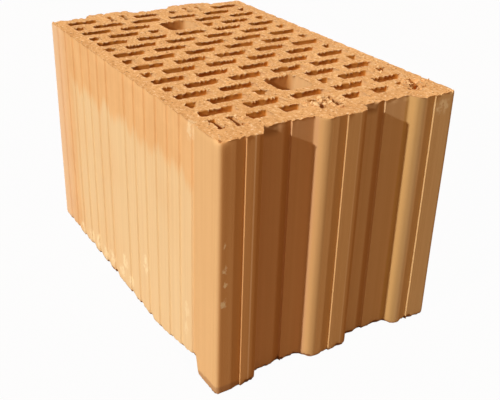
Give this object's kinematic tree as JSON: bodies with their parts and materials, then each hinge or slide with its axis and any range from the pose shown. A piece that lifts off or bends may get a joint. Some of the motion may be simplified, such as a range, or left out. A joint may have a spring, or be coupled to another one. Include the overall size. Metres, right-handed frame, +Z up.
{
  "type": "hollow clay block",
  "caption": "Hollow fired-clay wall block with upright slots, grip holes, ribbed sides and tongue-and-groove ends that interlock with the next block in a course.",
  "frame": {"origin": "middle of the bed face, at the centre of the bounding box's base", "axes": "+Z up along the holes, +X towards the grooved end, +Y across to the second ribbed side"},
  "size_m": [0.3824, 0.24, 0.238],
  "materials": {
    "fired_clay": "matte, gritty fired clay"
  },
  "bodies": {
    "root": {"clay_block": "fired_clay"}
  },
  "joints": []
}
